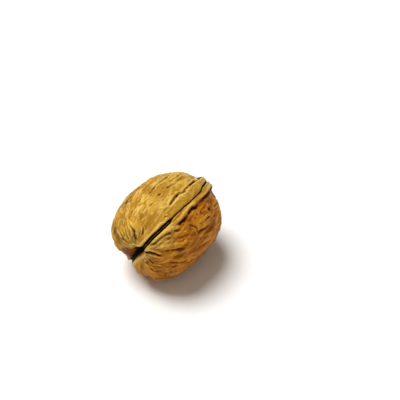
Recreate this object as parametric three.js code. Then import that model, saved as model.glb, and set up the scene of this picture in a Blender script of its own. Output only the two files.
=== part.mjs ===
// A walnut in its shell, lying on one cheek as it settles on a table.
// Millimetres, +Z up. X runs along the nut from the stem end (-X) to the pointed tip (+X).
// The origin is the middle of the small flat that the nut rests on.
//
// The shell is one closed body, so it is one mesh: a sphere with a pole in the middle of each cheek,
// so that its rows run parallel to the seam, and with every vertex moved out to the shell's surface.
// A place on the shell is given by
//   station    how far along the nut it is, 0 at the stem end and 1 at the tip
//   longitude  how far round the nut's length it is, in degrees: 0 on the upper seam, 180 on the lower
//              seam, positive over the left cheek and negative over the right one
// and a place on the seam by its
//   bearing    how far round the seam it is, in degrees: 0 at the stem end, 90 at the top, 180 at the
//              tip and -90 underneath
import * as THREE from 'three';
import { mergeVertices } from 'three/addons/utils/BufferGeometryUtils.js';

const { clamp, degToRad, euclideanModulo, lerp, radToDeg, smoothstep } = THREE.MathUtils;

// Driving dimensions
const LENGTH = 40; // stem end to tip, before the hollow at the stem end
const SEAM_DIAMETER = 35; // across the nut from seam to seam
const CHEEK_DIAMETER = 34; // across the nut from cheek to cheek
const ROLL = degToRad(29.3); // how far the upper seam leans from straight up
const AXIS_HEIGHT = 16.95; // the nut's long axis above the table
const AXIS_MIDDLE = new THREE.Vector2(1.0, -0.3); // where the axis's middle is over the table

// The ends. A fullness of 2 is an ellipse, and more than 2 has square shoulders.
const STEM_FULLNESS = 2.45;
const TIP_FULLNESS = 2.05;
const STEM_HOLLOW = { depth: 2.8, radius: 4.5 };
const TIP_POINT = { height: 1.0, radius: 2.2 };

// The raised keel on each side of the seam
const KEEL_FLAT = 2.2; // half its width at the top
const KEEL_FOOT = 3.4; // half its width at the bottom
// its height, by bearing
const KEEL_HEIGHT = [
  [-180, 0.9], [-90, 0.9], [-28, 0], [0, 0.2], [50, 0.4], [146, 1.4], [180, 0.9],
];

// The parted seam: how far its middle wanders to the left, half its width, and its depth, by bearing
const GAP_MIDDLE = [
  [-180, 0], [-90, 0.3], [-33, -0.1], [-18, 0], [-11, 0.35], [0, 0.6], [7, 0.8], [11.5, 0.2], [15, -0.05],
  [22, -0.05], [36, 0.05], [45, -0.15], [56, -0.35], [66, -0.3], [80, -0.5], [93, -0.85], [113, -0.95],
  [123, -0.2], [140, 0.05], [180, 0],
];
const GAP_HALF_WIDTH = [
  [-180, 0.2], [-52, 0.2], [-38, 0.8], [-18, 0.9], [-11, 1.2], [0, 1.75], [7, 2.15], [11.5, 1.9],
  [14.5, 1.25], [19, 0.65], [56, 0.65], [66, 0.2], [180, 0.2],
];
const GAP_DEPTH = [
  [-180, 0.5], [-60, 0.5], [-45, 0.8], [-30, 1.3], [-12, 3.0], [10, 3.2], [20, 2.2], [50, 2.2], [58, 1.6],
  [68, 0.9], [140, 0.9], [180, 0.4],
];
const GAP_WALL = 0.4; // the width of the gap's sloping side

// The dished face on the left of the stem end: its middle and half its size, across the nut and up it
const DISH = { across: 2.6, up: -6.0, halfWidth: 3.5, halfHeight: 7.6, depth: 0.7 };
const DISH_EDGE = [0.7, 1.05]; // shares of its size between which its side rises

// Broad swellings and hollows: [station, longitude, height, half length in stations, half width in degrees]
const SWELLINGS = [
  [0.08, 110, 0.7, 0.12, 40],
  [0.10, -140, 1.1, 0.14, 36],
  [0.06, 175, -1.6, 0.12, 32],
  [0.70, 95, -0.9, 0.24, 45],
  [0.78, -75, 1.0, 0.20, 45],
  [0.15, -90, 0.3, 0.20, 45],
];

// The main furrows that run along the shell: half width, depth and the path as [station, longitude]
const FURROWS = [
  {
    halfWidth: 0.7,
    depth: 0.5,
    path: [[0.15, 11], [0.3, 11.5], [0.49, 13], [0.55, 10.5], [0.8, 11.5], [0.94, 16]],
  },
  { halfWidth: 0.7, depth: 0.5, path: [[0.38, 44], [0.46, 44], [0.61, 43], [0.72, 46]] },
  { halfWidth: 0.7, depth: 0.5, path: [[0.01, 31], [0.05, 35], [0.09, 49], [0.2, 56]] },
  { halfWidth: 0.7, depth: 0.5, path: [[0.01, 68], [0.05, 77], [0.19, 75], [0.44, 73]] },
  { halfWidth: 0.8, depth: 0.6, path: [[0.05, 112], [0.25, 106], [0.5, 113], [0.75, 118], [0.93, 122]] },
  { halfWidth: 0.8, depth: 0.6, path: [[0.08, 142], [0.3, 136], [0.6, 141], [0.93, 150]] },
  { halfWidth: 0.8, depth: 0.6, path: [[0.55, 72], [0.75, 76], [0.94, 80]] },
  {
    halfWidth: 0.8,
    depth: 0.7,
    path: [[0.28, -11.5], [0.39, -12], [0.47, -10], [0.6, -11.5], [0.75, -12], [0.93, -17]],
  },
  { halfWidth: 0.8, depth: 0.6, path: [[0.04, -9], [0.13, -10.5], [0.22, -13.5]] },
  { halfWidth: 0.8, depth: 0.5, path: [[0.11, -14], [0.19, -21], [0.27, -28]] },
  { halfWidth: 0.8, depth: 0.8, path: [[0.03, -14], [0.07, -31], [0.13, -34], [0.2, -40], [0.3, -46]] },
  { halfWidth: 0.8, depth: 0.5, path: [[0.45, -38], [0.51, -39], [0.6, -42]] },
  { halfWidth: 0.7, depth: 0.5, path: [[0.12, -59], [0.2, -61], [0.3, -65]] },
  { halfWidth: 0.8, depth: 0.5, path: [[0.01, -79], [0.035, -88], [0.1, -97]] },
  { halfWidth: 0.8, depth: 0.5, path: [[0.35, -92], [0.6, -90], [0.85, -96]] },
  { halfWidth: 0.8, depth: 0.5, path: [[0.6, -124], [0.75, -121], [0.93, -128]] },
];
const FURROW_END = 0.06; // the stations over which a furrow fades out at each end
const POLE_FADE = [2, 9]; // distances from the axis between which the keel and the swellings come in

// Mesh density and direction
const COLUMNS = 96; // round the seam
const ROWS = 60; // from cheek to cheek
const SEAM_CROWDING = 0.75; // how much closer the rows stand at the seam
const STEM_CROWDING = 0.3; // how much closer the columns stand at the stem end
const CORE_SHARE = 0.6; // the shell grows away from the axis's point at this share of a place's X
const MERGE_DISTANCE = 1e-4;

// The value that a list of [place, value] has at one place, held flat past both ends.
function valueAt(list, place) {
  const next = list.findIndex(([p]) => p >= place);
  if (next === 0) return list[0][1];
  if (next < 0) return list[list.length - 1][1];
  const [p0, v0] = list[next - 1];
  const [p1, v1] = list[next];
  return lerp(v0, v1, smoothstep(place, p0, p1));
}

const bell = (t) => Math.exp(-t * t);

// The shortest turn from one longitude to another, in degrees.
const turn = (from, to) => euclideanModulo(to - from + 180, 360) - 180;

// The smooth egg under all the detail, for a point of the unit sphere. X is along the nut,
// Y out of the left cheek and Z towards the upper seam.
function egg(unit) {
  const fullness = unit.x < 0 ? STEM_FULLNESS : TIP_FULLNESS;
  const sine = Math.hypot(unit.y, unit.z);
  const ring = sine > 0 ? sine ** (2 / fullness) / sine : 0;
  return new THREE.Vector3(
    Math.sign(unit.x) * Math.abs(unit.x) ** (2 / fullness) * LENGTH / 2,
    ring * unit.y * CHEEK_DIAMETER / 2,
    ring * unit.z * SEAM_DIAMETER / 2,
  );
}

function keel(bearing, fromSeam) {
  return valueAt(KEEL_HEIGHT, bearing) * (1 - smoothstep(fromSeam, KEEL_FLAT, KEEL_FOOT));
}

function gap(bearing, across) {
  const fromMiddle = Math.abs(across - valueAt(GAP_MIDDLE, bearing));
  const halfWidth = valueAt(GAP_HALF_WIDTH, bearing);
  return valueAt(GAP_DEPTH, bearing) * (1 - smoothstep(fromMiddle, halfWidth, halfWidth + GAP_WALL));
}

function dish(point) {
  const reach = Math.hypot((point.y - DISH.across) / DISH.halfWidth, (point.z - DISH.up) / DISH.halfHeight);
  return point.x < 0 ? DISH.depth * (1 - smoothstep(reach, ...DISH_EDGE)) : 0;
}

function swelling(station, longitude) {
  return SWELLINGS.reduce((sum, [s, l, height, halfLength, halfWidth]) => {
    return sum + height * bell((station - s) / halfLength) * bell(turn(l, longitude) / halfWidth);
  }, 0);
}

function furrow(station, longitude, radius) {
  return FURROWS.reduce((sum, { halfWidth, depth, path }) => {
    const first = path[0][0];
    const last = path[path.length - 1][0];
    const fade = smoothstep(station, first - FURROW_END, first + FURROW_END)
      * (1 - smoothstep(station, last - FURROW_END, last + FURROW_END));
    const across = radius * degToRad(turn(valueAt(path, station), longitude));
    return sum + depth * fade * bell(across / halfWidth);
  }, 0);
}

// A point of the unit sphere, with its poles on Y, slid towards the seam and the stem end,
// and moved across the seam by an angle that fades out towards the cheeks.
function crowd(unit, seamShift) {
  const evenPolar = Math.acos(clamp(unit.y, -1, 1));
  const polar = evenPolar + SEAM_CROWDING * Math.sin(2 * evenPolar) / 2
    - seamShift * Math.sin(evenPolar) ** 2;
  const evenRound = Math.atan2(unit.z, unit.x);
  const round = evenRound + STEM_CROWDING * Math.sin(evenRound);
  return new THREE.Vector3(
    Math.sin(polar) * Math.cos(round),
    Math.cos(polar),
    Math.sin(polar) * Math.sin(round),
  );
}

const bearingOf = (point) => radToDeg(Math.atan2(point.z, -point.x));

// The same point moved out to the shell's surface. Rows of points follow the gap where it wanders.
function shellPoint(unit) {
  const firstBearing = bearingOf(egg(crowd(unit, 0)));
  const point = egg(crowd(unit, valueAt(GAP_MIDDLE, firstBearing) / (CHEEK_DIAMETER / 2)));
  const station = point.x / LENGTH + 0.5;
  const longitude = radToDeg(Math.atan2(point.y, point.z));
  const bearing = bearingOf(point);
  const radius = Math.hypot(point.y, point.z);

  const relief = keel(bearing, Math.abs(point.y)) + swelling(station, longitude);
  const height = relief * smoothstep(radius, ...POLE_FADE)
    - furrow(station, longitude, radius)
    - gap(bearing, point.y)
    - dish(point);
  const outwards = new THREE.Vector3(point.x * (1 - CORE_SHARE), point.y, point.z).normalize();
  point.addScaledVector(outwards, height);

  point.x += station < 0.5
    ? STEM_HOLLOW.depth * bell(radius / STEM_HOLLOW.radius)
    : TIP_POINT.height * bell(radius / TIP_POINT.radius);
  return point;
}

function walnutShell() {
  const geometry = new THREE.SphereGeometry(1, COLUMNS, ROWS);
  geometry.deleteAttribute('normal');
  geometry.deleteAttribute('uv');

  const position = geometry.getAttribute('position');
  const unit = new THREE.Vector3();
  for (let i = 0; i < position.count; i += 1) {
    unit.fromBufferAttribute(position, i);
    const point = shellPoint(unit).applyAxisAngle(new THREE.Vector3(1, 0, 0), ROLL);
    point.add(new THREE.Vector3(AXIS_MIDDLE.x, AXIS_MIDDLE.y, AXIS_HEIGHT));
    // What would reach below the table is pressed flat: the small face that the nut rests on.
    position.setXYZ(i, point.x, point.y, Math.max(point.z, 0));
  }
  const shell = mergeVertices(geometry, MERGE_DISTANCE);
  shell.computeVertexNormals();
  return shell;
}

const nutshell = new THREE.MeshStandardMaterial({ color: 0xc08f3e, roughness: 0.55, metalness: 0 });

const walnut = new THREE.Mesh(walnutShell(), nutshell);
walnut.name = 'walnut';

const part = new THREE.Group();
part.add(walnut);

export default part;
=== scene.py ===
import math

import bmesh
import bpy
import numpy as np
from bpy.props import FloatProperty, FloatVectorProperty, PointerProperty
from mathutils import Matrix, Vector, noise


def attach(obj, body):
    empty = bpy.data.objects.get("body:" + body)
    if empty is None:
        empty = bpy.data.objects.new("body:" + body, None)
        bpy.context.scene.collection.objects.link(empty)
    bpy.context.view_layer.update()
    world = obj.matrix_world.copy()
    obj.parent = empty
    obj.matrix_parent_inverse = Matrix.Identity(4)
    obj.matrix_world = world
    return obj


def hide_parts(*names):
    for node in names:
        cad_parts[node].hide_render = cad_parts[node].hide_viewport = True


bl_info = {
    "name": "Walnut in its Shell",
    "version": (1, 0, 0),
    "blender": (4, 5, 0),
    "location": "View3D > Sidebar > Walnut",
    "description": "Models a whole walnut with a wrinkled shell and a parted seam, and a plain stage for it",
    "category": "Object",
}

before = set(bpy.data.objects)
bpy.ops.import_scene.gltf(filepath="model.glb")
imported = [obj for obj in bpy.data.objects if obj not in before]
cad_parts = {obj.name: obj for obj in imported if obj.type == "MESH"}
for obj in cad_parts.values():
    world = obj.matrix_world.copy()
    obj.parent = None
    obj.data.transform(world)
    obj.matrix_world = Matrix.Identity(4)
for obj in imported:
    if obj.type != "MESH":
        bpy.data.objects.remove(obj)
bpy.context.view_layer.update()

# Shapes are worked out in millimetres and turned into metres when they reach the mesh.
MM = 0.001

# A place on the shell is given by its station, 0 at the stem end and 1 at the tip, and its longitude,
# the degrees round the nut's length: 0 on the upper seam, 180 on the lower one, positive over the left
# cheek. A place on the seam is given by its bearing, the degrees round the seam: 0 at the stem end,
# 90 at the top, 180 at the tip and negative underneath.

# The ends of the nut: a fullness of 2 is an ellipse, and more than 2 has square shoulders.
STEM_FULLNESS = 2.45
TIP_FULLNESS = 2.05
# The round hollow at the stem end and the short point at the tip
STEM_HOLLOW_DEPTH = 2.8
STEM_HOLLOW_RADIUS = 4.5
TIP_POINT_HEIGHT = 1.0
TIP_POINT_RADIUS = 2.2
# The shell grows away from the axis's point at this share of a place's distance along the nut.
CORE_SHARE = 0.6
# The distances from the axis between which the keel and the swellings come in
POLE_FADE = (2.0, 9.0)
# Where the middle of the nut's axis is, from the middle of the flat that it rests on
AXIS_MIDDLE = (1.0, -0.3, 16.95)
# The height above the table over which the detail comes in
TABLE_FADE = 1.6

# The raised keel beside the seam: half its width at the top and at the foot, and its height by bearing
KEEL_FLAT = 2.2
KEEL_FOOT = 3.4
KEEL_HEIGHT = [(-180, 0.9), (-90, 0.9), (-28, 0.0), (0, 0.2), (50, 0.4), (146, 1.4), (180, 0.9)]

# The parted seam by bearing: how far its middle wanders to the left, half its width, and its depth
GAP_MIDDLE = [
    (-180, 0.0), (-90, 0.3), (-33, -0.1), (-18, 0.0), (-11, 0.35), (0, 0.6), (7, 0.8), (11.5, 0.2),
    (15, -0.05), (22, -0.05), (36, 0.05), (45, -0.15), (56, -0.35), (66, -0.3), (80, -0.5), (93, -0.85),
    (113, -0.95), (123, -0.2), (140, 0.05), (180, 0.0),
]
GAP_HALF_WIDTH = [
    (-180, 0.08), (-60, 0.10), (-48, 0.30), (-36, 0.9), (-18, 0.95), (-11, 1.25), (0, 1.8), (7, 2.2),
    (11.5, 1.95), (14.5, 1.3), (18, 0.66), (30, 0.62), (50, 0.64), (57, 0.58), (63, 0.12), (100, 0.10),
    (118, 0.14), (130, 0.22), (145, 0.14), (160, 0.08), (180, 0.08),
]
GAP_DEPTH = [
    (-180, 0.3), (-60, 0.4), (-45, 0.8), (-30, 1.3), (-12, 3.0), (10, 3.2), (20, 2.2), (50, 2.2),
    (58, 1.6), (66, 0.9), (115, 0.85), (135, 1.0), (148, 0.5), (180, 0.3),
]
# The width of the gap's sloping side
GAP_WALL = 0.2
# The gap's painted shade reaches its deepest black at this depth.
GAP_DARK = 1.1

# A strand of the seam's own fibre stands up in the middle of the gap: the bearings between which it comes
# in and goes out, half its width, its share of the gap's depth, how far it stands to the right of the
# middle, and how much of the gap's painted black shade it takes away
STRAND_START = (16, 22)
STRAND_END = (56, 62)
STRAND_HALF_WIDTH = 0.2
STRAND_SHARE = 0.8
STRAND_ASIDE = 0.12
STRAND_PALENESS = 0.42

# A fine second fissure beside the gap, where the gap narrows: its middle by bearing, the bearings between
# which it comes in and goes out, half its width and its depth, and the shallow band between it and the gap
FISSURE_MIDDLE = [(56, -1.0), (62, -1.3), (70, -1.35), (80, -0.85)]
FISSURE_START = (55, 60)
FISSURE_END = (76, 83)
FISSURE_HALF_WIDTH = 0.16
FISSURE_DEPTH = 0.4
BAND_HALF_WIDTH = 0.35
BAND_DEPTH = 0.15

# The gap's raised lips: how far from its edge, half their width and their height
LIP_ASIDE = 0.6
LIP_HALF_WIDTH = 0.5
LIP_HEIGHT = 0.28

# Noises, each with the size of its lumps, its stretch along the nut and its seed
STREAKS = (1.05, 5.0, 50.0)
ROLLS = (2.2, 2.2, 54.0)
KNOBS = (3.6, 1.3, 58.0)
RIBS = (1.8, 4.5, 66.0)
PIMPLES = (0.85, 1.5, 80.0)
# How high they stand everywhere, and how much higher on the left cheek's flank or on the right cheek
STREAK_HEIGHT, FLANK_STREAK_HEIGHT = 0.17, 0.07
ROLL_HEIGHT, RIGHT_ROLL_HEIGHT = 0.17, 0.05
KNOB_HEIGHT, RIGHT_KNOB_HEIGHT = 0.25, 0.2
PIMPLE_HEIGHT, RIGHT_PIMPLE_HEIGHT = 0.09, 0.09
RIB_HEIGHT = 0.36

# Networks of random creases: the size of their cells, their stretch, a crease's half width and the seed
BROAD_CREASES = (5.2, 3.2, 0.6, 2.0)
FINE_CREASES = (2.3, 3.6, 0.33, 6.0)
BROAD_CREASE_DEPTH = 0.42
FINE_CREASE_DEPTH = 0.26

# Broad swellings and hollows: station, longitude, height, half length in stations, half width in degrees
SWELLINGS = [
    (0.08, 110, 0.7, 0.12, 40),
    (0.10, -140, 1.1, 0.14, 36),
    (0.06, 175, -1.6, 0.12, 32),
    (0.70, 95, -0.9, 0.24, 45),
    (0.78, -75, 1.0, 0.20, 45),
    (0.15, -90, 0.3, 0.20, 45),
]

# Furrows and ridges: half width, depth (negative for a ridge), and a path of station and longitude
FURROWS = [
    # along the left side of the keel
    (0.45, 0.25, [(0.12, 11), (0.2, 10), (0.30, 11.5), (0.37, 12)]),
    (0.45, 0.75, [(0.34, 12), (0.43, 12.5), (0.49, 13.5), (0.55, 12)]),
    (0.40, 0.60, [(0.49, 13.5), (0.55, 10), (0.61, 11.5), (0.68, 11)]),
    (0.45, 0.85, [(0.62, 11.5), (0.69, 11), (0.76, 11), (0.81, 11), (0.93, 15)]),
    (0.30, 0.30, [(0.47, 12), (0.478, 8.5), (0.49, 6), (0.51, 3.5)]),
    (0.32, 0.60, [(0.252, 7), (0.258, 5.5), (0.265, 4), (0.272, 2)]),
    # over the left cheek
    (0.42, 0.50, [(0.34, 45), (0.395, 44), (0.459, 44), (0.522, 43), (0.61, 43), (0.70, 46)]),
    (0.35, 0.35, [(0.48, 31), (0.53, 29), (0.574, 28), (0.63, 24)]),
    (0.40, 0.30, [(0.60, 35), (0.68, 33), (0.76, 35)]),
    (0.40, 0.40, [(0.010, 66), (0.021, 73), (0.045, 76), (0.09, 76)]),
    (0.40, 0.45, [(0.020, 31), (0.049, 35), (0.086, 49), (0.13, 54)]),
    (0.38, 0.45, [(0.026, 24), (0.052, 32), (0.075, 41)]),
    (0.35, 0.40, [(0.054, 16), (0.088, 20), (0.109, 27)]),
    (0.35, 0.35, [(0.012, 50), (0.034, 57), (0.075, 62)]),
    (0.40, 0.30, [(0.18, 30), (0.26, 31), (0.33, 28)]),
    (0.30, 0.25, [(0.058, 62), (0.122, 61), (0.206, 61), (0.307, 60), (0.403, 57)]),
    (0.30, 0.25, [(0.054, 90), (0.104, 81), (0.191, 75), (0.313, 73), (0.437, 73), (0.532, 71)]),
    (0.28, 0.22, [(0.14, 42), (0.22, 44), (0.30, 39), (0.36, 37)]),
    (0.28, 0.22, [(0.12, 52), (0.20, 52), (0.29, 50), (0.37, 51)]),
    (0.60, 0.45, [(0.05, 112), (0.25, 106), (0.5, 113), (0.75, 118), (0.93, 122)]),
    (0.60, 0.50, [(0.08, 142), (0.3, 136), (0.6, 141), (0.93, 150)]),
    (0.60, 0.50, [(0.55, 72), (0.75, 76), (0.94, 80)]),
    # along the right side of the keel
    (0.55, 0.60, [(0.28, -11), (0.33, -12), (0.385, -12), (0.421, -10)]),
    (0.60, 0.85, [(0.41, -11), (0.478, -9.5), (0.519, -11), (0.56, -10.5)]),
    (0.55, 0.70, [(0.56, -10.5), (0.62, -11), (0.68, -11.5), (0.75, -12), (0.86, -13), (0.94, -18)]),
    # over the right cheek
    (0.50, 0.45, [(0.035, -9), (0.09, -9), (0.132, -10), (0.19, -12), (0.235, -14)]),
    (0.50, 0.45, [(0.105, -14), (0.150, -17), (0.189, -21), (0.269, -28), (0.33, -30)]),
    (0.60, 0.85, [(0.010, -13), (0.022, -20), (0.031, -25), (0.045, -30), (0.062, -36), (0.085, -40)]),
    (0.50, 0.38, [(0.058, -30), (0.069, -31), (0.128, -34), (0.196, -40), (0.27, -42)]),
    (0.40, 0.50, [(0.007, -30), (0.014, -46), (0.022, -58), (0.033, -62)]),
    (0.45, 0.50, [(0.10, -56), (0.124, -59), (0.16, -60), (0.198, -61), (0.26, -60)]),
    (0.50, 0.55, [(0.590, -43), (0.55, -41), (0.509, -40), (0.450, -38), (0.40, -40)]),
    (0.45, 0.55, [(0.002, -100), (0.006, -86), (0.011, -79), (0.022, -84), (0.035, -88), (0.06, -90)]),
    (0.40, 0.45, [(0.010, -24), (0.015, -32), (0.024, -35)]),
    (0.45, 0.50, [(0.10, -70), (0.128, -67), (0.16, -65), (0.186, -65), (0.228, -67), (0.28, -72)]),
    (0.45, 0.45, [(0.050, -82), (0.064, -80), (0.083, -71)]),
    (0.45, 0.40, [(0.223, -14), (0.26, -18), (0.31, -19)]),
    (0.45, 0.40, [(0.36, -20), (0.41, -27), (0.42, -33), (0.40, -38)]),
    (0.45, 0.35, [(0.48, -15), (0.50, -20), (0.55, -23), (0.60, -24)]),
    (0.45, 0.35, [(0.45, -28), (0.50, -31), (0.56, -31), (0.64, -33)]),
    (0.60, 0.45, [(0.35, -92), (0.6, -90), (0.85, -96)]),
    (0.60, 0.45, [(0.60, -124), (0.75, -121), (0.93, -128)]),
    (0.60, 0.45, [(0.62, -50), (0.78, -54), (0.93, -50)]),
    (0.50, 0.40, [(0.70, -30), (0.80, -33), (0.92, -36)]),
    # ridges
    (0.50, -0.30, [(0.118, -6.5), (0.18, -8), (0.233, -10), (0.272, -12)]),
    (0.60, -0.45, [(0.038, -11), (0.095, -12.5), (0.150, -18), (0.223, -23), (0.277, -23)]),
    (0.85, -0.50, [(0.054, -18), (0.124, -25), (0.218, -33), (0.286, -34), (0.34, -32)]),
    (0.60, -0.35, [(0.061, -35), (0.138, -42), (0.252, -46), (0.32, -47)]),
    (0.55, -0.35, [(0.28, -22), (0.31, -25), (0.33, -30)]),
    (0.55, -0.30, [(0.34, -9.5), (0.40, -7.5), (0.47, -6.5), (0.54, -8)]),
    (0.55, -0.30, [(0.36, -15), (0.42, -14), (0.47, -15), (0.53, -16)]),
]

# How many straight steps a path has between two of its places
PATH_STEPS = 4

# Round pits: station, longitude, radius, depth
PITS = [
    (0.406, 31, 0.55, 0.50), (0.542, 21, 0.5, 0.40), (0.371, 21, 0.4, 0.30), (0.515, 30, 0.5, 0.35),
    (0.574, 28, 0.5, 0.35), (0.652, 34, 0.45, 0.30), (0.539, -20, 0.45, 0.60), (0.305, -12.5, 0.6, 0.60),
    (0.463, -22, 0.7, 0.50), (0.545, -11, 0.8, 0.50), (0.558, -26, 0.5, 0.40), (0.42, -29, 0.6, 0.40),
    (0.66, -26, 0.6, 0.45), (0.36, -27, 0.5, 0.35),
]

# The dished face on the left of the stem end: its middle across the nut and up it, half its sizes, its
# depth, and the shares of its size between which its side rises
DISH_MIDDLE = (2.6, -6.0)
DISH_HALF = (3.5, 7.6)
DISH_DEPTH = 0.7
DISH_EDGE = (0.72, 1.02)

# The settings at which furrows and wrinkles have the heights given here, in metres
MIDDLING_FURROW = 0.0005
MIDDLING_WRINKLE = 0.0001

# Mesh density: the sphere's poles are in the middle of the cheeks, so that its rows follow the seam.
COLUMNS = 420
ROWS = 228
# How strongly the rows crowd at the seam and over how much of a quarter turn, and the columns at the stem
SEAM_CROWDING = 0.7
CROWDING_REACH = 0.05
STEM_CROWDING = 0.25
# The row that follows the gap's edges, and how far the rows beyond it give way, in radians off the seam
EDGE_ROW = 0.04
EDGE_REACH = 0.36
# Rows this far off the seam, in radians, no longer follow the gap where it wanders
WANDER_REACH = 1.2


def ease(values, start, end):
    """Runs smoothly from 0 at start to 1 at end."""
    share = np.clip((values - start) / (end - start), 0.0, 1.0)
    return share * share * (3.0 - 2.0 * share)


def bell(values):
    """A smooth hump, 1 where the values are 0."""
    return np.exp(-values * values)


def value_at(pairs, places):
    """What a list of (place, value) pairs gives, eased between the pairs and held flat past the ends."""
    marks, values = np.array(pairs, float).T
    after = np.clip(np.searchsorted(marks, places), 1, len(marks) - 1)
    share = ease(places, marks[after - 1], marks[after])
    return values[after - 1] + (values[after] - values[after - 1]) * share


def turn(longitudes, start):
    """The shortest turn from one longitude to the others, in degrees."""
    return (longitudes - start + 180.0) % 360.0 - 180.0


def unit_rows(points):
    """Each row of an array of vectors, made one long."""
    return points / (np.linalg.norm(points, axis=1, keepdims=True) + 1e-12)


def sampled(measure, points, scale, stretch, seed):
    """A noise measure at each point, for lumps of the given size, stretched along the nut."""
    places = points / np.array([scale * stretch, scale, scale]) + seed
    return np.array([measure(place) for place in places.tolist()])


def lumps(points, scale, stretch, seed):
    """Smooth noise from -1 to 1."""
    return sampled(noise.noise, points, scale, stretch, seed)


def drift(points, scale, seeds):
    """A smooth random shift of each point, one noise for each axis."""
    return np.column_stack([lumps(points, scale, 1.0, seed) for seed in seeds])


def cell_edges(points, scale, stretch, seed):
    """How far each point is from the edge of its cell, 0 on the edge and about 1 in the middle."""
    def edge(place):
        near = noise.voronoi(place)[0]
        return near[1] - near[0]
    return sampled(edge, points, scale, stretch, seed)


class Egg:
    """The smooth egg under all the detail."""

    def __init__(self, form):
        self.half_length = form.length / MM / 2
        self.half_cheek = form.cheek_diameter / MM / 2
        self.half_seam = form.seam_diameter / MM / 2

    def points(self, units):
        """Where the points of the unit sphere are on the egg."""
        along = units[:, 0]
        power = 2.0 / np.where(along < 0, STEM_FULLNESS, TIP_FULLNESS)
        across = np.hypot(units[:, 1], units[:, 2])
        ring = np.maximum(across, 1e-9) ** (power - 1.0)
        return np.column_stack((
            np.sign(along) * np.abs(along) ** power * self.half_length,
            ring * units[:, 1] * self.half_cheek,
            ring * units[:, 2] * self.half_seam,
        ))

    def place(self, station, longitude):
        """The point at one station and longitude."""
        along = 2.0 * station - 1.0
        fullness = STEM_FULLNESS if along < 0 else TIP_FULLNESS
        ring = (1.0 - abs(along) ** fullness) ** (1.0 / fullness)
        turned = math.radians(longitude)
        return np.array((
            along * self.half_length,
            ring * math.sin(turned) * self.half_cheek,
            ring * math.cos(turned) * self.half_seam,
        ))


def distance_to_path(points, path):
    """How far each point is from a bent line, and how far along the line its nearest place is, 0 to 1."""
    lengths = [np.linalg.norm(end - start) for start, end in zip(path, path[1:])]
    total = sum(lengths)
    nearest = np.full(len(points), np.inf)
    travelled = np.zeros(len(points))
    done = 0.0
    for start, end, length in zip(path, path[1:], lengths):
        heading = (end - start) / length
        along = np.clip((points - start) @ heading, 0.0, length)
        gap = np.linalg.norm(points - start - along[:, None] * heading, axis=1)
        closer = gap < nearest
        nearest = np.where(closer, gap, nearest)
        travelled = np.where(closer, (done + along) / total, travelled)
        done += length
    return nearest, travelled


def beside_path(points, path, reach):
    """Which points could be within reach of a bent line."""
    lowest, highest = np.min(path, axis=0), np.max(path, axis=0)
    away = np.linalg.norm(points - (lowest + highest) / 2, axis=1)
    return away < np.linalg.norm(highest - lowest) / 2 + reach


def smooth_path(places, egg):
    """A rounded line over the egg through (station, longitude) places."""
    corners = np.array(places, float)
    fine = np.linspace(0, len(corners) - 1, (len(corners) - 1) * PATH_STEPS + 1)
    before = np.clip(fine.astype(int), 0, len(corners) - 2)
    share = (fine - before)[:, None]
    ends = np.vstack((2 * corners[0] - corners[1], corners, 2 * corners[-1] - corners[-2]))
    p0, p1, p2, p3 = ends[before], ends[before + 1], ends[before + 2], ends[before + 3]
    bend = 2 * p0 - 5 * p1 + 4 * p2 - p3 + share * (3 * (p1 - p2) + p3 - p0)
    rounded = p1 + 0.5 * share * (p2 - p0 + share * bend)
    return [egg.place(min(max(station, 0.001), 0.999), longitude) for station, longitude in rounded]


def crowded(units, gap_middle=0.0, gap_push=0.0):
    """Slides the unit sphere's points towards the seam and the stem, and its rows along the gap's edges."""
    sideways = np.arcsin(np.clip(units[:, 1], -1.0, 1.0)) / (math.pi / 2)
    far = np.abs(sideways)
    pulled = sideways * (1.0 + CROWDING_REACH) * far / (far + CROWDING_REACH)
    lateral = (sideways * (1.0 - SEAM_CROWDING) + pulled * SEAM_CROWDING) * math.pi / 2
    aside = np.abs(lateral)
    pushed = np.minimum(aside / EDGE_ROW, 1.0) * (1.0 - ease(aside, EDGE_ROW, EDGE_ROW + EDGE_REACH))
    following = 1.0 - ease(aside, 0.0, WANDER_REACH)
    lateral = lateral + gap_push * pushed * np.sign(lateral) + gap_middle * following
    bearing = np.arctan2(units[:, 2], -units[:, 0])
    bearing = bearing - STEM_CROWDING * np.sin(bearing)
    return np.column_stack((
        -np.cos(lateral) * np.cos(bearing),
        np.sin(lateral),
        np.cos(lateral) * np.sin(bearing),
    ))


def bearings(points):
    """How far round the seam each point is, in degrees."""
    return np.degrees(np.arctan2(points[:, 2], -points[:, 0]))


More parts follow.
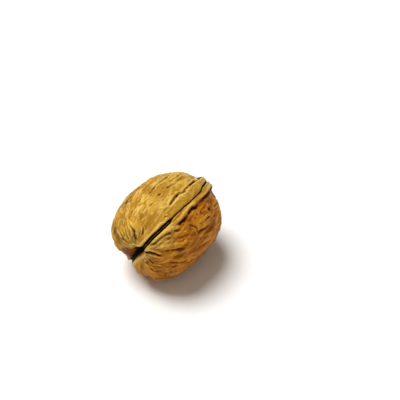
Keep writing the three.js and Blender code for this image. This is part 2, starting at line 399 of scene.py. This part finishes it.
class Shell:
    """The shell's surface and what its finish needs to know about it."""

    def __init__(self, units, form):
        egg = Egg(form)
        first = bearings(egg.points(crowded(units)))
        middle = value_at(GAP_MIDDLE, first) / egg.half_cheek
        edge = (value_at(GAP_HALF_WIDTH, first) * form.gap_width + GAP_WALL / 2) / egg.half_cheek
        base = egg.points(crowded(units, middle, np.maximum(edge - EDGE_ROW, 0.0)))
        self.egg = egg
        self.form = form
        self.base = base
        self.station = base[:, 0] / (2 * egg.half_length) + 0.5
        self.longitude = np.degrees(np.arctan2(base[:, 1], base[:, 2]))
        self.bearing = bearings(base)
        self.radius = np.hypot(base[:, 1], base[:, 2])
        # Wrinkles run along the nut and draw together at its ends, but only half as much as longitudes do.
        spread = (0.5 + 0.5 * egg.half_cheek / np.maximum(self.radius, 1.0))
        self.wrapped = base * np.column_stack((np.ones(len(base)), spread, spread))
        self.build()

    def keel(self):
        """The raised band beside the seam."""
        aside = np.abs(self.base[:, 1])
        uneven = 0.25 * lumps(self.base, 5.0, 1.0, 3.1)
        return value_at(KEEL_HEIGHT, self.bearing) * (1.0 - ease(aside + uneven, KEEL_FLAT, KEEL_FOOT))

    def swelling(self):
        """The broad swellings and hollows."""
        total = np.zeros(len(self.base))
        for station, longitude, height, half_length, half_width in SWELLINGS:
            along = bell((self.station - station) / half_length)
            total += height * along * bell(turn(self.longitude, longitude) / half_width)
        return total

    def carved(self):
        """The explicit furrows, ridges and pits: how deep and how high they make the shell."""
        wander = self.base + 0.35 * drift(self.base, 2.5, (5.0, 9.0, 13.0))
        uneven = np.clip(1.05 + 1.0 * lumps(self.base, 1.3, 1.0, 17.0), 0.35, 1.7)
        depth = np.zeros(len(self.base))
        crest = np.zeros(len(self.base))
        for half_width, amount, places in FURROWS:
            path = smooth_path(places, self.egg)
            near = beside_path(wander, path, 5.0 * half_width)
            away, along = distance_to_path(wander[near], path)
            ends = ease(along, -0.05, 0.25) * (1.0 - ease(along, 0.75, 1.05))
            width = half_width * (0.45 + 0.3 * ends + 0.1 * uneven[near])
            shape = bell(away / width) * ends * uneven[near]
            if amount > 0:
                depth[near] = np.maximum(depth[near], amount * shape)
                rim = 0.5 * amount * ends * bell((away - 2.0 * width) / width)
                crest[near] = np.maximum(crest[near], rim)
            else:
                crest[near] = np.maximum(crest[near], -amount * shape)
        for station, longitude, radius, amount in PITS:
            away = np.linalg.norm(wander - self.egg.place(station, longitude), axis=1)
            depth = np.maximum(depth, amount * bell(away / radius) * uneven)
        return depth, crest

    def network(self, cell, stretch, width, seed):
        """Furrows between long cells, 1 in the middle of a furrow and 0 away from it."""
        bent = self.wrapped + 0.9 * drift(self.base, 3.2, (seed + 0.3, seed + 4.7, seed + 8.9))
        return bell(cell_edges(bent, cell, stretch, seed) * cell / width)

    def gap(self):
        """The parted seam: its middle, its depth, how open it is from 0 to 1, its strand and its lips."""
        bearing, across = self.bearing, self.base[:, 1]
        middle = value_at(GAP_MIDDLE, bearing) + 0.05 * lumps(self.base, 1.4, 1.0, 21.0)
        uneven = 1.0 + 0.12 * lumps(self.base, 2.2, 1.0, 33.0)
        half = value_at(GAP_HALF_WIDTH, bearing) * self.form.gap_width * uneven
        away = np.abs(across - middle)
        opened = 1.0 - ease(away, half, half + GAP_WALL)
        reach = ease(bearing, *STRAND_START) * (1.0 - ease(bearing, *STRAND_END))
        shift = STRAND_ASIDE - 0.1 * lumps(self.base, 1.1, 1.0, 61.0)
        strand = bell((across - middle + shift) / STRAND_HALF_WIDTH) * reach
        depth = value_at(GAP_DEPTH, bearing) * opened * (1.0 - STRAND_SHARE * strand)
        lip = bell((away - half - LIP_ASIDE) / LIP_HALF_WIDTH) * ease(half, 0.3, 0.8) * LIP_HEIGHT
        return middle, depth, opened, strand, lip

    def fissure(self, gap_middle):
        """The second fissure and the band between it and the gap, 1 in their middles."""
        middle = value_at(FISSURE_MIDDLE, self.bearing)
        reach = ease(self.bearing, *FISSURE_START) * (1.0 - ease(self.bearing, *FISSURE_END))
        crack = bell((self.base[:, 1] - middle) / FISSURE_HALF_WIDTH) * reach
        band = bell((self.base[:, 1] - (middle + gap_middle) / 2) / BAND_HALF_WIDTH) * reach
        return crack, band

    def creases(self):
        """The random creases, in patches over the whole shell, weaker near the seam and on its upper side."""
        broad = self.network(*BROAD_CREASES) * ease(lumps(self.base, 7.0, 1.0, 40.0), -0.35, 0.25)
        fine = self.network(*FINE_CREASES) * ease(lumps(self.base, 4.5, 1.0, 44.0), -0.45, 0.2)
        topmost = bell(turn(self.longitude, 0.0) / 70.0) * (1.0 - ease(self.station, 0.7, 0.9))
        broad = broad * self.off_seam * (1.0 - 0.65 * topmost)
        fine = fine * (0.35 + 0.65 * self.off_seam)
        return BROAD_CREASE_DEPTH * broad + FINE_CREASE_DEPTH * fine

    def grain(self):
        """The fine wrinkles: streaks, rolls and pimples everywhere, and stronger ribs on the right cheek."""
        across, right = self.base[:, 1], self.right
        bent = self.wrapped + 0.5 * drift(self.base, 1.8, (70.0, 73.0, 76.0))
        streaks = 0.55 - 2.2 * np.abs(lumps(bent, *STREAKS))
        ribs = 0.5 - 2.0 * np.abs(lumps(bent, *RIBS))
        flank = ease(across, 6.0, 12.0)
        # the band along the right lip is smoother
        beside_lip = ease(-across, 1.0, 3.0) * (1.0 - ease(-across, 7.0, 11.0))
        mild = 1.0 - 0.55 * beside_lip * (1.0 - ease(self.station, 0.35, 0.6))
        folds = (STREAK_HEIGHT + FLANK_STREAK_HEIGHT * flank) * streaks
        folds += (ROLL_HEIGHT + RIGHT_ROLL_HEIGHT * right) * lumps(self.wrapped, *ROLLS)
        folds += RIB_HEIGHT * right * (1.0 - 0.5 * self.low) * ribs
        pimples = (PIMPLE_HEIGHT + RIGHT_PIMPLE_HEIGHT * right) * lumps(self.base, *PIMPLES)
        total = folds * (0.4 + 0.6 * mild) + pimples * mild
        return total * (0.25 + 0.75 * self.off_seam) * self.form.wrinkle_depth / MIDDLING_WRINKLE

    def dish(self):
        """The dished face on the left of the stem end, 1 inside it."""
        across = (self.base[:, 1] - DISH_MIDDLE[0]) / DISH_HALF[0]
        up = (self.base[:, 2] - DISH_MIDDLE[1]) / DISH_HALF[1]
        return (1.0 - ease(np.hypot(across, up), *DISH_EDGE)) * (self.station < 0.5)

    def amber(self, knobs):
        """How much of the right cheek's warmer colour, painted warm reflected light and shade, there is."""
        topward = ease(self.bearing, 50.0, 72.0)
        edge = 1.7 - 0.8 * topward
        warmth = ease(-self.base[:, 1], edge, edge + 5.5 - 2.9 * topward)
        return warmth * (0.75 + 0.25 * ease(self.station, 0.1, 0.35) + 0.3 * knobs)

    def build(self):
        """Moves the egg's points to the shell's surface and marks them for the finish."""
        base = self.base
        roll = self.form.roll
        # how far off the seam and onto the right cheek each point is, and whether it's low on that cheek
        self.off_seam = ease(np.abs(base[:, 1]), 1.2, 4.5)
        self.right = ease(-base[:, 1], 1.0, 7.0)
        self.low = ease(-self.longitude, 50.0, 85.0) * (self.longitude < 0)

        gap_middle, gap_depth, opened, strand, lip = self.gap()
        fissure, band = self.fissure(gap_middle)
        depth, crest = self.carved()
        valley = depth * self.form.furrow_depth / MIDDLING_FURROW + self.creases()
        grain = self.grain()
        knobs = lumps(base, *KNOBS)
        dish = self.dish()

        relief = (self.keel() + self.swelling()) * ease(self.radius, *POLE_FADE)
        bumps = (KNOB_HEIGHT + RIGHT_KNOB_HEIGHT * self.right) * knobs * self.off_seam
        detail = crest + grain + bumps + lip - valley - FISSURE_DEPTH * fissure - BAND_DEPTH * band
        # the detail fades out where the shell comes down to the table
        over_axis = base[:, 1] * math.sin(roll) + base[:, 2] * math.cos(roll)
        off_table = ease(over_axis + AXIS_MIDDLE[2], 0.0, TABLE_FADE)
        height = relief + detail * off_table - gap_depth - DISH_DEPTH * dish

        points = base + unit_rows(base * np.array([1.0 - CORE_SHARE, 1.0, 1.0])) * height[:, None]
        hollow = STEM_HOLLOW_DEPTH * bell(self.radius / STEM_HOLLOW_RADIUS)
        point = TIP_POINT_HEIGHT * bell(self.radius / TIP_POINT_RADIUS)
        points[:, 0] += np.where(self.station < 0.5, hollow, point)
        points = points @ np.array(Matrix.Rotation(roll, 3, "X")).T + np.array(AXIS_MIDDLE)
        # what would reach below the table is pressed flat
        points[:, 2] = np.maximum(points[:, 2], 0.0)

        self.points = points * MM
        # These marks steer painted light in the finish: furrows darkened partly as painted shade, painted
        # highlight and shade by height, painted shade black in the seam and dark on the dish, fissure, gap
        # sides and low on the right cheek, and painted warm reflected light over the right cheek.
        highness = crest / 0.5 + lip / 0.2 + 0.43 + (grain + 0.1 * knobs) / 0.42
        self.marks = {
            "hollow": np.clip(valley / 0.9, 0.0, 1.0),
            "crest": np.clip(highness, 0.0, 1.0),
            "inside": np.clip(gap_depth / GAP_DARK, 0.0, 1.0) * (1.0 - STRAND_PALENESS * strand),
            "recess_shade": np.clip(dish + 0.8 * fissure + 0.8 * opened, 0.0, 1.0),
            "low": self.low * ease(-over_axis, -6.0, 10.0),
            "right": np.clip(self.amber(knobs), 0.0, 1.0),
        }


def tree_node(tree, kind, values=None, **settings):
    """A new shader node with its settings, and its inputs set or linked."""
    made = tree.nodes.new(kind)
    for name, value in settings.items():
        setattr(made, name, value)
    for name, value in (values or {}).items():
        if isinstance(value, bpy.types.NodeSocket):
            tree.links.new(value, made.inputs[name])
        else:
            made.inputs[name].default_value = value
    return made


def blended(tree, factor, first, second):
    """The colour between two colours, from the first at 0 to the second at 1."""
    mix = tree_node(tree, "ShaderNodeMix", data_type="RGBA")
    for socket, value in ((mix.inputs[0], factor), (mix.inputs[6], first), (mix.inputs[7], second)):
        if isinstance(value, bpy.types.NodeSocket):
            tree.links.new(value, socket)
        else:
            socket.default_value = value
    return mix.outputs[2]


def computed(tree, operation, *values):
    """The result of a sum or other operation on numbers."""
    math_node = tree_node(tree, "ShaderNodeMath", operation=operation)
    for socket, value in zip(math_node.inputs, values):
        if isinstance(value, bpy.types.NodeSocket):
            tree.links.new(value, socket)
        else:
            socket.default_value = value
    return math_node.outputs[0]


def ranged(tree, value, low, high, to_low=0.0, to_high=1.0):
    """A number moved smoothly from one range to another."""
    mapped = tree_node(tree, "ShaderNodeMapRange", interpolation_type="SMOOTHSTEP")
    tree.links.new(value, mapped.inputs["Value"])
    mapped.inputs["From Min"].default_value = low
    mapped.inputs["From Max"].default_value = high
    mapped.inputs["To Min"].default_value = to_low
    mapped.inputs["To Max"].default_value = to_high
    return mapped.outputs["Result"]


def speckle(tree, coordinates, size, stretch=1.0, detail=3.0):
    """Noise with spots of the given size, stretched along the nut."""
    scale = (1.0 / stretch, 1.0, 1.0)
    squeezed = tree_node(tree, "ShaderNodeMapping", {"Vector": coordinates, "Scale": scale})
    texture = tree_node(tree, "ShaderNodeTexNoise", {
        "Vector": squeezed.outputs["Vector"], "Scale": 1.0 / size, "Detail": detail, "Roughness": 0.55,
    })
    return texture.outputs["Fac"]


def opaque(colour):
    """A colour property as a node's colour."""
    return (*colour, 1.0)


def nutshell_material(colours):
    """Satin tan nutshell, browner and redder in its furrows partly as painted shade, and black inside its
    seam as painted shade.
    """
    material = bpy.data.materials.new("nutshell")
    material.use_nodes = True
    tree = material.node_tree
    shader = tree.nodes["Principled BSDF"]
    coordinates = tree_node(tree, "ShaderNodeTexCoord").outputs["Object"]

    def mark(name):
        return tree_node(tree, "ShaderNodeAttribute", attribute_name=name).outputs["Fac"]

    patches = speckle(tree, coordinates, 0.009)
    rust = speckle(tree, coordinates, 0.0045, 1.3, 3.0)
    mottle = speckle(tree, coordinates, 0.0020, 1.8, 4.0)
    fibres = speckle(tree, coordinates, 0.0006, 3.5, 3.0)
    hollow, right, crest = mark("hollow"), mark("right"), mark("crest")

    left = blended(tree, ranged(tree, patches, 0.35, 0.65), opaque(colours.gold), opaque(colours.ochre))
    left = blended(tree, ranged(tree, mottle, 0.45, 0.68, 0.0, 0.5), left, opaque(colours.straw))
    # Painted highlight and shade: straw on the high places and ochre on the low ones.
    left = blended(tree, ranged(tree, crest, 0.5, 0.15, 0.0, 0.85), left, opaque(colours.ochre))
    left = blended(tree, ranged(tree, crest, 0.5, 0.95, 0.0, 0.75), left, opaque(colours.straw))
    blotches = ranged(tree, rust, 0.42, 0.62, 0.0, 0.5)
    warm = blended(tree, blotches, opaque(colours.amber), opaque(colours.rust))
    # Painted shade: rust towards the right cheek's underside and on its low places; gold on its high places
    # is painted highlight.
    warm = blended(tree, computed(tree, "MULTIPLY", mark("low"), 0.8), warm, opaque(colours.rust))
    warm = blended(tree, ranged(tree, crest, 0.45, 0.1, 0.0, 0.7), warm, opaque(colours.rust))
    warm = blended(tree, ranged(tree, crest, 0.55, 0.95, 0.0, 0.42), warm, opaque(colours.gold))
    # The right cheek's amber is painted warm reflected light and shade.
    colour = blended(tree, right, left, warm)
    colour = blended(tree, ranged(tree, fibres, 0.50, 0.72, 0.0, 0.5), colour, opaque(colours.ochre))
    # Painted shade in the furrows over the shell's browner tone: umber at their sides on the gold parts, rust
    # at their sides on the amber ones, near black at their bottoms.
    sides = blended(tree, right, opaque(colours.umber), opaque(colours.rust))
    uneven = computed(tree, "ADD", hollow, ranged(tree, mottle, 0.3, 0.7, -0.15, 0.15))
    colour = blended(tree, ranged(tree, uneven, 0.08, 0.6, 0.0, 0.85), colour, sides)
    colour = blended(tree, ranged(tree, uneven, 0.38, 0.85, 0.0, 0.92), colour, opaque(colours.furrow))
    # Painted shade on the dished face, the fissure and the sides of the gap.
    patchy = ranged(tree, mottle, 0.47, 0.62, 0.0, 0.6)
    shaded_recess = blended(tree, patchy, opaque(colours.recess_shade), opaque(colours.amber))
    colour = blended(tree, mark("recess_shade"), colour, shaded_recess)
    # Painted shade: black deep in the parted seam.
    colour = blended(tree, ranged(tree, mark("inside"), 0.25, 0.9), colour, opaque(colours.inside))
    tree.links.new(colour, shader.inputs["Base Color"])

    roughness = ranged(tree, mottle, 0.3, 0.7, 0.38, 0.55)
    roughness = computed(tree, "ADD", roughness, computed(tree, "MULTIPLY", hollow, 0.2))
    dull = computed(tree, "ADD", roughness, computed(tree, "MULTIPLY", mark("inside"), 0.4))
    tree.links.new(dull, shader.inputs["Roughness"])
    shader.inputs["Specular IOR Level"].default_value = 0.22
    shader.inputs["Specular Tint"].default_value = (1.0, 0.7, 0.3, 1.0)

    pores = speckle(tree, coordinates, 0.0003, 1.5, 3.0)
    grain = computed(tree, "ADD", fibres, computed(tree, "MULTIPLY", pores, 0.6))
    bump = tree_node(tree, "ShaderNodeBump", {"Strength": 0.62, "Distance": 0.0005, "Height": grain})
    tree.links.new(bump.outputs["Normal"], shader.inputs["Normal"])
    return material


def length_property(name, description, value, lowest, highest):
    """A length in metres that the user can change."""
    return FloatProperty(
        name=name, description=description, default=value, unit="LENGTH", min=lowest, max=highest,
    )


def colour_property(name, description, value):
    """A colour that the user can change."""
    return FloatVectorProperty(
        name=name, description=description, default=value, subtype="COLOR", size=3, min=0.0, max=1.0,
    )


def strength_property(name, description, value):
    """A light's strength that the user can change."""
    return FloatProperty(name=name, description=description, default=value, min=0.0)


class WalnutForm(bpy.types.PropertyGroup):
    """The nut's size and the strength of its relief."""
    length: length_property("Length", "Stem end to tip", 0.040, 0.02, 0.08)
    seam_diameter: length_property("Seam Diameter", "Across the nut from seam to seam", 0.035, 0.02, 0.08)
    cheek_diameter: length_property("Cheek Diameter", "Across the nut from cheek to cheek", 0.034, 0.02, 0.08)
    furrow_depth: length_property("Furrow Depth", "Depth of a middling furrow", MIDDLING_FURROW, 0.0, 0.002)
    wrinkle_depth: length_property("Wrinkle Depth", "Height of fine wrinkles", MIDDLING_WRINKLE, 0.0, 0.001)
    roll: FloatProperty(
        name="Roll",
        description="How far the upper seam leans from upright",
        default=math.radians(29.3),
        subtype="ANGLE",
    )
    gap_width: FloatProperty(
        name="Gap Width",
        description="How far the seam has parted, 1 as modelled",
        default=1.0,
        subtype="FACTOR",
        min=0.0,
        max=2.0,
    )


class WalnutColours(bpy.types.PropertyGroup):
    """The colours of the shell; several of them are painted shade, painted highlight and painted warm light.
    """
    gold: colour_property("Gold", "The shell's main colour", (0.56, 0.315, 0.032))
    # Ochre on the low places and straw on the high ones are painted shade and painted highlight, besides the
    # shell's own patches.
    ochre: colour_property("Ochre", "Duller patches between the gold", (0.35, 0.165, 0.010))
    straw: colour_property("Straw", "The palest high places", (0.72, 0.49, 0.12))
    # Amber over the right cheek is painted warm reflected light and shade.
    amber: colour_property("Amber", "The warmer right cheek", (0.66, 0.218, 0.003))
    # Umber and rust on the furrows' sides are the shell's browner tone and painted shade; rust low on the
    # right cheek is painted shade.
    umber: colour_property("Umber", "The sides of the furrows on the gold parts", (0.24, 0.105, 0.008))
    rust: colour_property("Rust", "Blotches and the furrows' sides on the amber parts", (0.27, 0.062, 0.002))
    # This colour is painted shade, near black at the bottoms of the furrows.
    furrow: colour_property("Furrow", "The bottoms of the furrows", (0.05, 0.012, 0.002))
    # This colour is painted shade on the dished face, the fissure and the sides of the gap.
    recess_shade: colour_property("Recess Shade", "The dished face and the sides of the gap", (0.15, 0.042, 0.005))
    # This colour is painted shade, black down in the parted seam.
    inside: colour_property("Inside", "The dark inside of the parted seam", (0.004, 0.002, 0.001))


class WalnutStage(bpy.types.PropertyGroup):
    """The floor, lights and camera."""
    key: strength_property("Key", "Strength of the main light", 4.1)
    key_colour: colour_property("Key Colour", "The colour of the main light", (0.98, 0.99, 1.0))
    fill: strength_property("Fill", "Strength of the light from the viewer's side", 0.7)
    fill_colour: colour_property("Fill Colour", "The colour of the viewer's side light", (1.0, 0.82, 0.6))
    sky: strength_property("Sky", "How much the surroundings light the nut", 0.1)
    floor: colour_property("Floor", "The colour of the floor", (0.85, 0.85, 0.85))


def in_scene(name, mesh):
    """A mesh as an object of the scene."""
    made = bpy.data.objects.new(name, mesh)
    bpy.context.scene.collection.objects.link(made)
    return made


class WALNUT_OT_shell(bpy.types.Operator):
    """Models the nut in its shell"""
    bl_idname = "walnut.shell"
    bl_label = "Walnut Shell"

    def execute(self, context):
        cells = bmesh.new()
        poles_aside = Matrix.Rotation(math.pi / 2, 4, "X")
        bmesh.ops.create_uvsphere(
            cells, u_segments=COLUMNS, v_segments=ROWS, radius=1.0, matrix=poles_aside,
        )
        for face in cells.faces:
            face.smooth = True
        units = np.array([vertex.co for vertex in cells.verts])
        shell = Shell(units, context.scene.walnut_form)
        for vertex, place in zip(cells.verts, shell.points.tolist()):
            vertex.co = place
        mesh = bpy.data.meshes.new("walnut_shell")
        cells.to_mesh(mesh)
        cells.free()
        for name, values in shell.marks.items():
            mark = mesh.attributes.new(name, "FLOAT", "POINT")
            mark.data.foreach_set("value", values.astype(np.float32))
        mesh.materials.append(nutshell_material(context.scene.walnut_colours))
        piece = in_scene("walnut_shell", mesh)
        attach(piece, "root")
        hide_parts("walnut")
        return {"FINISHED"}


# The camera's bearing round the nut and height above it, how far off it is, and where it aims beside the nut
CAMERA_AZIMUTH = math.radians(-56)
CAMERA_ELEVATION = math.radians(45)
CAMERA_DISTANCE = 0.3947
CAMERA_LENS = 100.0
AIM_RIGHT = 0.01155
AIM_UP = 0.0080

# Each light's bearing round the nut, its height above it and how wide it looks from the nut
KEY_PLACE = (math.radians(-178), math.radians(66), math.radians(40))
FILL_PLACE = (math.radians(-50), math.radians(48), math.radians(70))


def facing(azimuth, elevation):
    """Unit vectors to the right, up and towards the viewer, for a viewer at this bearing."""
    back = Vector((
        math.sin(azimuth) * math.cos(elevation),
        -math.cos(azimuth) * math.cos(elevation),
        math.sin(elevation),
    ))
    right = Vector((math.cos(azimuth), math.sin(azimuth), 0.0))
    return right, back.cross(right), back


def turned(right, up, back, place):
    """The matrix of an object at this place whose axes are right, up and back."""
    matrix = Matrix((right, up, back)).transposed().to_4x4()
    matrix.translation = place
    return matrix


def soft_light(name, azimuth, elevation, softness, strength, colour):
    """A far, wide, soft light from this bearing."""
    light = bpy.data.lights.new(name, "SUN")
    light.angle = softness
    light.energy = strength
    light.color = colour
    right, up, back = facing(azimuth, elevation)
    placed = in_scene(name, light)
    placed.matrix_world = turned(right, up, back, back)


class WALNUT_OT_stage(bpy.types.Operator):
    """Sets up the floor, the lights and the camera"""
    bl_idname = "walnut.stage"
    bl_label = "Walnut Stage"

    def execute(self, context):
        settings = context.scene.walnut_stage
        middle = Vector(AXIS_MIDDLE) * MM

        ground = bmesh.new()
        bmesh.ops.create_grid(ground, x_segments=1, y_segments=1, size=3.0)
        mesh = bpy.data.meshes.new("floor")
        ground.to_mesh(mesh)
        ground.free()
        paper = bpy.data.materials.new("paper_floor")
        paper.use_nodes = True
        surface = paper.node_tree.nodes["Principled BSDF"]
        surface.inputs["Base Color"].default_value = opaque(settings.floor)
        surface.inputs["Roughness"].default_value = 0.8
        mesh.materials.append(paper)
        floor = in_scene("floor", mesh)

        soft_light("key_light", *KEY_PLACE, settings.key, settings.key_colour)
        soft_light("fill_light", *FILL_PLACE, settings.fill, settings.fill_colour)

        # The surroundings are white to look at, and light the nut only a little.
        world = bpy.data.worlds.new("white_surroundings")
        world.use_nodes = True
        seen = tree_node(world.node_tree, "ShaderNodeLightPath").outputs["Is Camera Ray"]
        background = world.node_tree.nodes["Background"]
        background.inputs["Color"].default_value = (1.0, 1.0, 1.0, 1.0)
        brightness = computed(world.node_tree, "MAXIMUM", seen, settings.sky)
        world.node_tree.links.new(brightness, background.inputs["Strength"])
        context.scene.world = world
        context.scene.view_settings.view_transform = "Standard"

        right, up, back = facing(CAMERA_AZIMUTH, CAMERA_ELEVATION)
        camera = bpy.data.cameras.new("camera")
        camera.lens = CAMERA_LENS
        camera.sensor_width = 36.0
        camera.clip_start = 0.01
        viewer = in_scene("camera", camera)
        aim = middle + right * AIM_RIGHT + up * AIM_UP
        viewer.matrix_world = turned(right, up, back, aim + back * CAMERA_DISTANCE)
        context.scene.camera = viewer
        return {"FINISHED"}


class WALNUT_PT_panel(bpy.types.Panel):
    """Lists the walnut's settings and operators"""
    bl_idname = "WALNUT_PT_panel"
    bl_label = "Walnut"
    bl_space_type = "VIEW_3D"
    bl_region_type = "UI"
    bl_category = "Walnut"

    def draw(self, context):
        for group, operator in (
            (context.scene.walnut_form, None),
            (context.scene.walnut_colours, WALNUT_OT_shell.bl_idname),
            (context.scene.walnut_stage, WALNUT_OT_stage.bl_idname),
        ):
            box = self.layout.box()
            for name in group.bl_rna.properties.keys():
                if name not in ("rna_type", "name"):
                    box.prop(group, name)
            if operator:
                box.operator(operator)


CLASSES = (WalnutForm, WalnutColours, WalnutStage, WALNUT_OT_shell, WALNUT_OT_stage, WALNUT_PT_panel)


def register():
    for made in CLASSES:
        bpy.utils.register_class(made)
    bpy.types.Scene.walnut_form = PointerProperty(type=WalnutForm)
    bpy.types.Scene.walnut_colours = PointerProperty(type=WalnutColours)
    bpy.types.Scene.walnut_stage = PointerProperty(type=WalnutStage)


def unregister():
    del bpy.types.Scene.walnut_stage
    del bpy.types.Scene.walnut_colours
    del bpy.types.Scene.walnut_form
    for made in reversed(CLASSES):
        bpy.utils.unregister_class(made)


def main():
    register()
    bpy.ops.walnut.stage()
    bpy.ops.walnut.shell()


if __name__ == "__main__":
    main()
